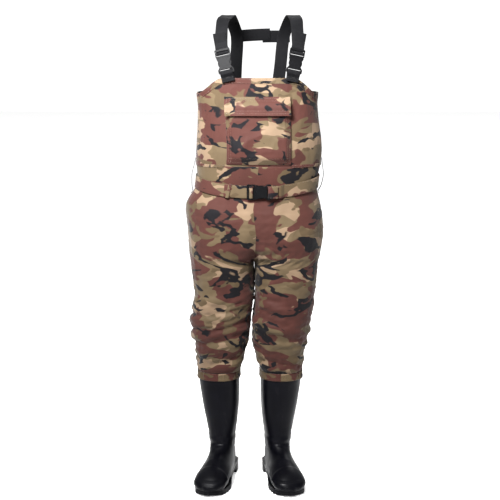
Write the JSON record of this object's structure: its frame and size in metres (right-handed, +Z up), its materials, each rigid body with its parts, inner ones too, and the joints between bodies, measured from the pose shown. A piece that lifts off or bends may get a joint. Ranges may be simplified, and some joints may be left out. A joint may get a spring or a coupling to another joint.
{
  "type": "chest waders",
  "caption": "Camouflage chest waders with bib, chest pocket, waist belt, buckled braces and moulded boots.",
  "frame": {"origin": "on the ground, below the middle of the object's box", "axes": "+Z up along the body; the wearer faces -Y, so the wearer's left is +X"},
  "size_m": [0.4274, 0.3414, 1.4558],
  "materials": {
    "camouflage_cloth": "woven nylon in a four-colour woodland pattern, coated inside",
    "boot_rubber": "moulded black boot compound with a satin surface",
    "black_webbing": "woven black webbing and elastic",
    "buckle_plastic": "moulded black nylon",
    "hook_and_loop": "hook-and-loop tape",
    "lining_felt": "grey felt insole"
  },
  "bodies": {
    "garment": {"bib_front_panel": "camouflage_cloth", "bib_back_panel": "camouflage_cloth", "bib_front_facing": "camouflage_cloth", "back_top_elastic": "black_webbing", "chest_pocket_pouch": "camouflage_cloth", "pocket_loop_tape": "hook_and_loop", "left_boot_upper": "boot_rubber", "left_boot_outsole": "boot_rubber", "left_boot_insole": "lining_felt", "left_boot_cuff": "camouflage_cloth", "right_boot_upper": "boot_rubber", "right_boot_outsole": "boot_rubber", "right_boot_insole": "lining_felt", "right_boot_cuff": "camouflage_cloth", "left_leg_front_panel": "camouflage_cloth", "left_leg_back_panel": "camouflage_cloth", "right_leg_front_panel": "camouflage_cloth", "right_leg_back_panel": "camouflage_cloth", "left_buckle_socket": "buckle_plastic", "left_buckle_tab": "black_webbing", "left_shoulder_strap": "black_webbing", "left_strap_adjuster": "black_webbing", "right_buckle_socket": "buckle_plastic", "right_buckle_tab": "black_webbing", "right_shoulder_strap": "black_webbing", "right_strap_adjuster": "black_webbing", "right_cross_strap": "black_webbing", "left_cross_strap": "black_webbing", "belt_buckle_socket": "buckle_plastic", "belt": "camouflage_cloth", "belt_adjuster": "camouflage_cloth", "belt_keeper": "camouflage_cloth", "left_belt_loop": "camouflage_cloth", "right_belt_loop": "camouflage_cloth", "back_belt_loop": "camouflage_cloth"},
    "pocket_flap": {"chest_pocket_flap": "camouflage_cloth", "flap_hook_tape": "hook_and_loop"},
    "left_buckle_clip": {"left_buckle_frame": "buckle_plastic"},
    "left_buckle_prong_outer": {"left_buckle_prong_outer": "buckle_plastic"},
    "left_buckle_prong_inner": {"left_buckle_prong_inner": "buckle_plastic"},
    "right_buckle_clip": {"right_buckle_frame": "buckle_plastic"},
    "right_buckle_prong_inner": {"right_buckle_prong_inner": "buckle_plastic"},
    "right_buckle_prong_outer": {"right_buckle_prong_outer": "buckle_plastic"},
    "belt_buckle_clip": {"belt_buckle_frame": "buckle_plastic"},
    "belt_buckle_prong_upper": {"belt_buckle_prong_upper": "buckle_plastic"},
    "belt_buckle_prong_lower": {"belt_buckle_prong_lower": "buckle_plastic"}
  },
  "joints": [
    {"name": "pocket_flap_hinge", "type": "hinge", "parent": "garment", "child": "pocket_flap", "pos_m": [0.00797, -0.096, 1.218], "axis": [-1, 0, 0], "range_deg": [0, 140]},
    {"name": "left_buckle_release", "type": "slide", "parent": "garment", "child": "left_buckle_clip", "axis": [0.1785, 0.183, 0.9668], "range_m": [0, 0.03], "deforming": ["left_strap_adjuster", "left_buckle_prong_outer", "left_buckle_prong_inner"]},
    {"name": "left_buckle_prong_outer_flex", "type": "hinge", "parent": "left_buckle_clip", "child": "left_buckle_prong_outer", "pos_m": [0.13569, -0.05447, 1.32833], "axis": [-0.1864, 0.9711, -0.1494], "range_deg": [0, 8], "stiffness_Nm_per_rad": 0.3},
    {"name": "left_buckle_prong_inner_flex", "type": "hinge", "parent": "left_buckle_clip", "child": "left_buckle_prong_inner", "pos_m": [0.10931, -0.05866, 1.33399], "axis": [0.1864, -0.9711, 0.1494], "range_deg": [0, 8], "stiffness_Nm_per_rad": 0.3},
    {"name": "right_buckle_release", "type": "slide", "parent": "garment", "child": "right_buckle_clip", "axis": [-0.2072, 0.178, 0.962], "range_m": [0, 0.03], "deforming": ["right_strap_adjuster", "right_buckle_prong_inner", "right_buckle_prong_outer"]},
    {"name": "right_buckle_prong_inner_flex", "type": "hinge", "parent": "right_buckle_clip", "child": "right_buckle_prong_inner", "pos_m": [-0.07971, -0.05991, 1.33409], "axis": [0.1415, 0.9784, -0.1505], "range_deg": [0, 8], "stiffness_Nm_per_rad": 0.3},
    {"name": "right_buckle_prong_outer_flex", "type": "hinge", "parent": "right_buckle_clip", "child": "right_buckle_prong_outer", "pos_m": [-0.10614, -0.05704, 1.32787], "axis": [-0.1415, -0.9784, 0.1505], "range_deg": [0, 8], "stiffness_Nm_per_rad": 0.3},
    {"name": "belt_buckle_release", "type": "slide", "parent": "garment", "child": "belt_buckle_clip", "axis": [-1, 0, 0], "range_m": [0, 0.03], "deforming": ["belt_adjuster", "belt_buckle_prong_upper", "belt_buckle_prong_lower"]},
    {"name": "belt_buckle_prong_upper_flex", "type": "hinge", "parent": "belt_buckle_clip", "child": "belt_buckle_prong_upper", "pos_m": [0.00342, -0.09204, 0.94865], "axis": [0, 1, 0], "range_deg": [0, 8], "stiffness_Nm_per_rad": 0.3},
    {"name": "belt_buckle_prong_lower_flex", "type": "hinge", "parent": "belt_buckle_clip", "child": "belt_buckle_prong_lower", "pos_m": [0.00342, -0.09204, 0.92135], "axis": [0, -1, 0], "range_deg": [0, 8], "stiffness_Nm_per_rad": 0.3}
  ],
  "couplings": [
    {"joint": "left_buckle_prong_inner_flex", "follows": "left_buckle_prong_outer_flex", "ratio": 1},
    {"joint": "right_buckle_prong_outer_flex", "follows": "right_buckle_prong_inner_flex", "ratio": 1},
    {"joint": "belt_buckle_prong_lower_flex", "follows": "belt_buckle_prong_upper_flex", "ratio": 1}
  ]
}
